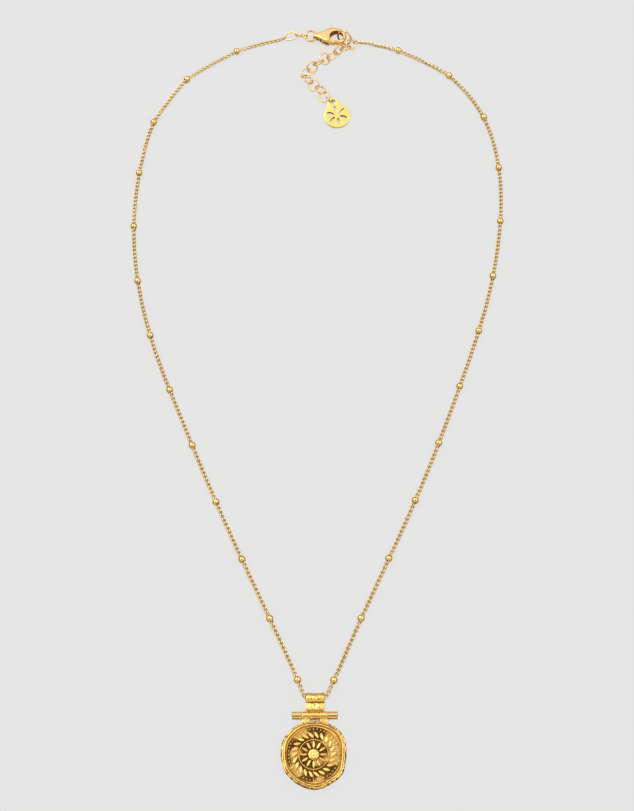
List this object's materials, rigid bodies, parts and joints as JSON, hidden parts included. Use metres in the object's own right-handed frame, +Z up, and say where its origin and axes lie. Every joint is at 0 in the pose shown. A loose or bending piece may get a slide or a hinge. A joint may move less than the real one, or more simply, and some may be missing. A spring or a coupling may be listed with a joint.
{
  "type": "necklace",
  "caption": "Fine gold chain necklace with evenly spaced small beads, a lobster clasp with a ring extender and round tag, and a cast coin pendant on a hinged tube bail",
  "frame": {"origin": "on the surface the necklace lies on, under the middle of its outline", "axes": "+Y from the pendant to the clasp, +X to the right seen from above, +Z up off the surface"},
  "size_m": [0.0978, 0.2058, 0.0043],
  "materials": {
    "gold_chain": "polished",
    "gold_bead": "polished",
    "gold_cast": "satin",
    "gold_tag": "polished",
    "gold_pin": "polished",
    "gold_clasp": "polished",
    "gold_wire": "polished"
  },
  "bodies": {
    "necklace": {"bail": "gold_cast", "bead_01": "gold_bead", "bead_02": "gold_bead", "bead_03": "gold_bead", "bead_04": "gold_bead", "bead_05": "gold_bead", "bead_06": "gold_bead", "bead_07": "gold_bead", "bead_08": "gold_bead", "bead_09": "gold_bead", "bead_10": "gold_bead", "bead_11": "gold_bead", "bead_12": "gold_bead", "bead_13": "gold_bead", "bead_14": "gold_bead", "bead_15": "gold_bead", "bead_16": "gold_bead", "bead_17": "gold_bead", "bead_18": "gold_bead", "bead_19": "gold_bead", "bead_20": "gold_bead", "bead_21": "gold_bead", "bead_22": "gold_bead", "bead_23": "gold_bead", "bead_24": "gold_bead", "bead_25": "gold_bead", "bead_26": "gold_bead", "catch_ring": "gold_wire", "chain": "gold_chain", "chain_end_ring": "gold_wire", "clasp_body": "gold_clasp", "clasp_ring": "gold_wire", "clasp_rivet": "gold_clasp", "end_link": "gold_wire", "extender_link_01": "gold_wire", "extender_link_02": "gold_wire", "extender_link_03": "gold_wire", "extender_link_04": "gold_wire", "extender_link_05": "gold_wire", "extender_link_06": "gold_wire", "extender_link_07": "gold_wire", "extender_link_08": "gold_wire", "extender_link_09": "gold_wire", "extender_link_10": "gold_wire", "extender_link_11": "gold_wire", "hinge_pin": "gold_pin", "joining_ring": "gold_wire", "tag": "gold_tag", "tag_ring": "gold_wire"},
    "pendant": {"coin": "gold_cast"},
    "lever": {"clasp_lever": "gold_clasp"}
  },
  "joints": [
    {"name": "coin_hinge", "type": "hinge", "parent": "necklace", "child": "pendant", "pos_m": [-0.00033, -0.08683, 0.001], "axis": [-1, 0, 0], "range_deg": [-95, 95]},
    {"name": "clasp_lever_pivot", "type": "hinge", "parent": "necklace", "child": "lever", "pos_m": [0.00198, 0.09827, 0.00145], "axis": [0, 0, 1], "range_deg": [0, 25], "stiffness_Nm_per_rad": 0.01, "springref_deg": -11.46}
  ]
}
